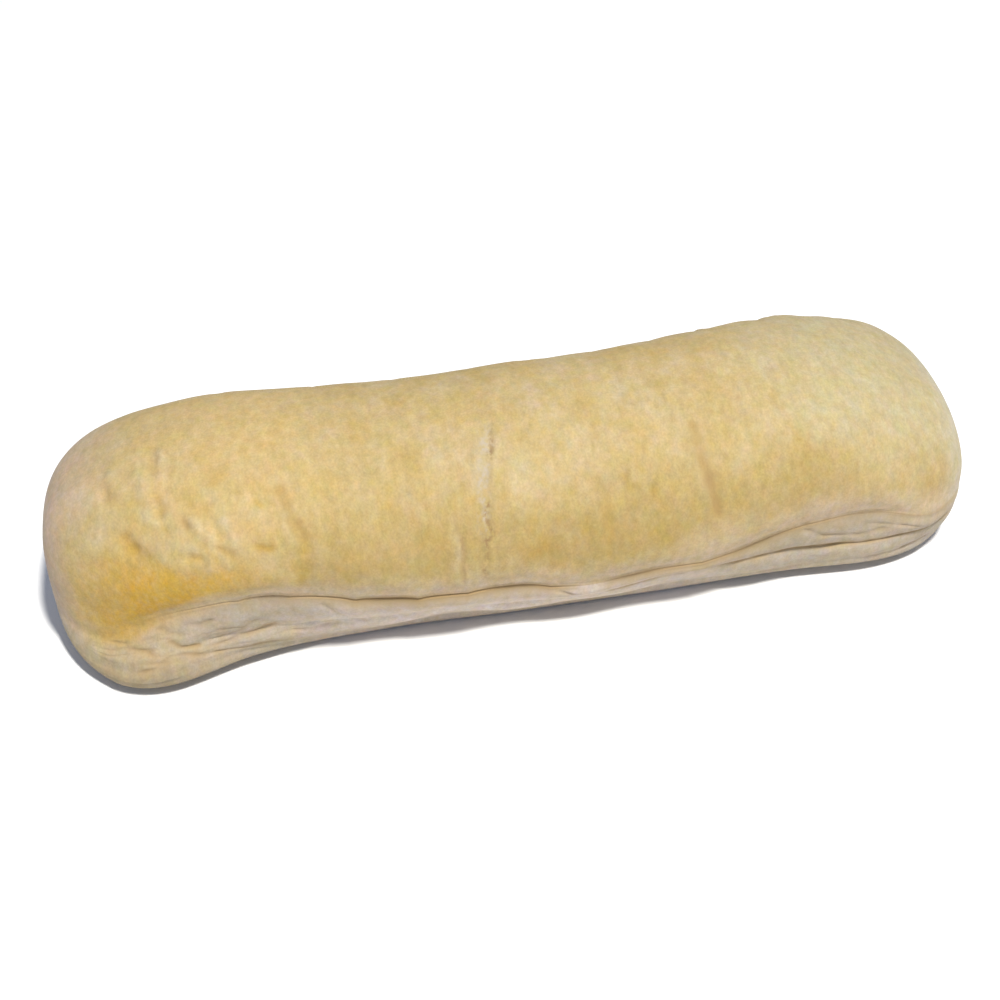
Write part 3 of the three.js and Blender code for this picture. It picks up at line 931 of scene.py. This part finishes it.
# Sizes of the patterns in mm, along and across the roll
STRAW_CLOUDS = (9, 12)
CORNER_GRAIN = (1.3, 1.7)
CRUMB_FLAKES = (0.9, 1.1)
PIT_SPECKS = (1, 1.3)
SOFT_BUMPS = (2.5, 4)
STREAKS = (2.2, 7)
MOTTLE = (1.3, 1.8)
GRAIN = (0.5, 0.6)
STREAK_SHARE = 0.06
MOTTLE_SHARE = 0.05
GRAIN_SHARE = 0.07
TINTS = (
    (PEACH_TINT, LEAF_TINT, ((2, 2.6), (4.5, 6))),
    (WHITE_TINT, GOLD_TINT, ((1.5, 2), (2.8, 3.8), (5.5, 7.5))),
    (WHITE_TINT, SHADE_TINT, ((1.7, 2.3), (3.5, 4.5))),
)


def paint(colour, *layers):
    """Lays colours over one another, each by an attribute of the mesh and a share of it."""
    for name, share, shade in layers:
        colour = mix(tree, amount(name, share), colour, shade)
    return colour


def crown_colour():
    """Straw to gold, deepest low on the flank and at one corner, with a painted pool of light on the left.
    """
    colour = mix(tree, clouds(*STRAW_CLOUDS), PALE_STRAW, GOLD_STRAW)
    colour = paint(colour, ("bright", 0.8, PAINTED_LIGHT_STRAW), ("dry", 1.0, DRY_STRAW),
                   ("flank", 0.85, FLANK_GOLD))
    grainy = times(amount("corner"), stretch(clouds(*CORNER_GRAIN), 0.0, 1.0, 0.65, 1.1))
    return mix(tree, grainy, colour, CORNER_GOLD)


def skin_colour():
    """The crown with its lip, stains, scuffs and ends, then the wall, painted shade at the foot, and base.
    """
    colour = paint(crown_colour(), ("lip", 0.9, LIP_BEIGE), ("stain", 0.8, STAIN_AND_DIP_SHADE),
                   ("cream_and_highlights", 0.75, CREAM_AND_HIGHLIGHT), ("left_end", 1.0, LEFT_END), ("right_end", 1.0, RIGHT_END))
    wall_colour = mix(tree, amount("wall_end"), WALL_PINK, WALL_BEIGE)
    return paint(colour, ("wall", 1.0, wall_colour), ("foot", 0.9, PAINTED_FOOT_SHADE),
                 ("underside", 1.0, BASE_GOLD))


def mottled(colour, grain):
    """Faint tints, streaks and grain, as on any baked starch."""
    for first, second, sizes in TINTS:
        for size in sizes:
            colour = mix(tree, 1.0, colour, mix(tree, clouds(*size), first, second), "MULTIPLY")
    colour = mix(tree, STREAK_SHARE, colour, clouds(*STREAKS, detail=3.0), "OVERLAY")
    colour = mix(tree, MOTTLE_SHARE, colour, clouds(*MOTTLE), "OVERLAY")
    return mix(tree, GRAIN_SHARE, colour, grain, "OVERLAY")


def creased(colour):
    """Torn crumb at the seam, warm painted shade in the fold and the creases, and brown pits."""
    flakes = stretch(clouds(*CRUMB_FLAKES), 0.2, 0.8, 0.3, 1.0)
    colour = mix(tree, times(amount("torn"), flakes), colour, TORN_CRUMB)
    colour = paint(colour, ("tuck", 0.95, PAINTED_TUCK_SHADE), ("crease", 0.55, PAINTED_CREASE_SHADE))
    specks = stretch(clouds(*PIT_SPECKS), 0.3, 0.75)
    return mix(tree, times(amount("pits"), specks), colour, PIT_BROWN)


print("tints:", sum(len(sizes) for first, second, sizes in TINTS), "layers")

# %% Crust material
CRUST_IOR = 1.45
CRUST_ROUGHNESS = 0.75
CRUST_SPECULAR = 0.2
CRUST_SHEEN = 0.03
CRUST_SHEEN_ROUGHNESS = 0.5
BUMP_STRENGTH = 0.3
FINE_BUMP = 0.06 * MM
SOFT_BUMP = 0.15 * MM
grain = clouds(*GRAIN, detail=1.0)
colour = creased(mottled(skin_colour(), grain))
fine = node(tree, "ShaderNodeBump", Strength=BUMP_STRENGTH, Distance=FINE_BUMP, Height=grain)
soft = node(tree, "ShaderNodeBump", Strength=BUMP_STRENGTH, Distance=SOFT_BUMP, Height=clouds(*SOFT_BUMPS),
            Normal=fine.outputs[0])
surface = node(tree, "ShaderNodeBsdfPrincipled", Base_Color=colour, Roughness=CRUST_ROUGHNESS,
               IOR=CRUST_IOR, Specular_IOR_Level=CRUST_SPECULAR, Sheen_Weight=CRUST_SHEEN,
               Sheen_Roughness=CRUST_SHEEN_ROUGHNESS, Normal=soft.outputs[0])
node(tree, "ShaderNodeOutputMaterial", Surface=surface.outputs[0])
mesh.materials.append(crust)
print("baked crust:", len(tree.nodes), "nodes")

# %% [markdown]
# ## Floor and light
# The roll lies on a plain white surface under light from above and in front, a little to the right.
# One oval area light, small for its distance, gives the shading and a clear edge to the shadow, and a
# bluish sky fills the shade under the lip. The floor is bright enough to go white, so only the narrow
# shadow along the foot and the left end shows.

# %% Stage
FLOOR_HALF = 3.0
FLOOR_DROP = 0.0002
PAPER_WHITE = linear("#f2f2f2")
PAPER_ROUGHNESS = 0.9
KEY_PLACE = Vector((0.19, -0.54, 1.43))
KEY_AIM = Vector((0, 0, 0.02))
KEY_WIDTH = 0.13
KEY_DEPTH = 0.2
KEY_POWER = 31
KEY_COLOUR = linear("#fffcf5")
SKY_COLOUR = linear("#d6e3ff")
SKY_STRENGTH = 0.4
floor_mesh = bpy.data.meshes.new("floor")
corners = [(-FLOOR_HALF, -FLOOR_HALF), (FLOOR_HALF, -FLOOR_HALF)]
corners += [(FLOOR_HALF, FLOOR_HALF), (-FLOOR_HALF, FLOOR_HALF)]
floor_mesh.from_pydata([(x, y, -FLOOR_DROP) for x, y in corners], [], [(0, 1, 2, 3)])
floor = bpy.data.objects.new("floor", floor_mesh)
bpy.context.scene.collection.objects.link(floor)
paper = bpy.data.materials.new("white_paper")
paper.use_nodes = True
paper_surface = paper.node_tree.nodes["Principled BSDF"]
paper_surface.inputs["Base Color"].default_value = PAPER_WHITE
paper_surface.inputs["Roughness"].default_value = PAPER_ROUGHNESS
floor_mesh.materials.append(paper)


def key_light():
    """An oval area light, aimed at the roll."""
    light = bpy.data.lights.new("key", "AREA")
    light.shape = "ELLIPSE"
    light.size = KEY_WIDTH
    light.size_y = KEY_DEPTH
    light.energy = KEY_POWER
    light.color = KEY_COLOUR[:3]
    lamp = bpy.data.objects.new("key", light)
    bpy.context.scene.collection.objects.link(lamp)
    lamp.location = KEY_PLACE
    lamp.rotation_euler = (KEY_AIM - KEY_PLACE).to_track_quat("-Z", "Y").to_euler()


key_light()
sky = bpy.data.worlds.new("soft_sky")
sky.use_nodes = True
background = sky.node_tree.nodes["Background"]
background.inputs["Color"].default_value = SKY_COLOUR
background.inputs["Strength"].default_value = SKY_STRENGTH
bpy.context.scene.world = sky
bpy.context.scene.view_settings.view_transform = "Standard"

# %% [markdown]
# ## Camera
# The picture looks down at the front of the roll from a little to its left. The lens, the distance and
# the angles come from fitting the solid's outline to the photograph.

# %% Camera
AZIMUTH = math.radians(-8.5)
ELEVATION = math.radians(43)
ROLL = math.radians(2.8)
FOCAL_PIXELS = 1900
IMAGE_PIXELS = 1000
SENSOR = 36
DISTANCE = 0.4993
AIM = Vector((0, -0.0015, 0.022))
SHIFT_PIXELS = (8.5, 6.0)
CLIP_START = 0.01

level = math.cos(ELEVATION)
back = Vector((math.sin(AZIMUTH) * level, -math.cos(AZIMUTH) * level, math.sin(ELEVATION)))
level_right = Vector((math.cos(AZIMUTH), math.sin(AZIMUTH), 0))
level_up = back.cross(level_right)
right = level_right * math.cos(ROLL) - level_up * math.sin(ROLL)
upward = level_right * math.sin(ROLL) + level_up * math.cos(ROLL)
lens = bpy.data.cameras.new("camera")
lens.sensor_width = SENSOR
lens.lens = SENSOR * FOCAL_PIXELS / IMAGE_PIXELS
lens.shift_x = -SHIFT_PIXELS[0] / IMAGE_PIXELS
lens.shift_y = -SHIFT_PIXELS[1] / IMAGE_PIXELS
lens.clip_start = CLIP_START
camera = bpy.data.objects.new("camera", lens)
bpy.context.scene.collection.objects.link(camera)
turn = Matrix((right, upward, back)).transposed().to_4x4()
camera.matrix_world = Matrix.Translation(AIM + back * DISTANCE) @ turn
bpy.context.scene.camera = camera
print("lens:", round(lens.lens, 1), "mm")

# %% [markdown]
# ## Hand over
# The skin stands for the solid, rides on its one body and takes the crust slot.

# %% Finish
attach(roll, "root")
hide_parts("panini_roll")
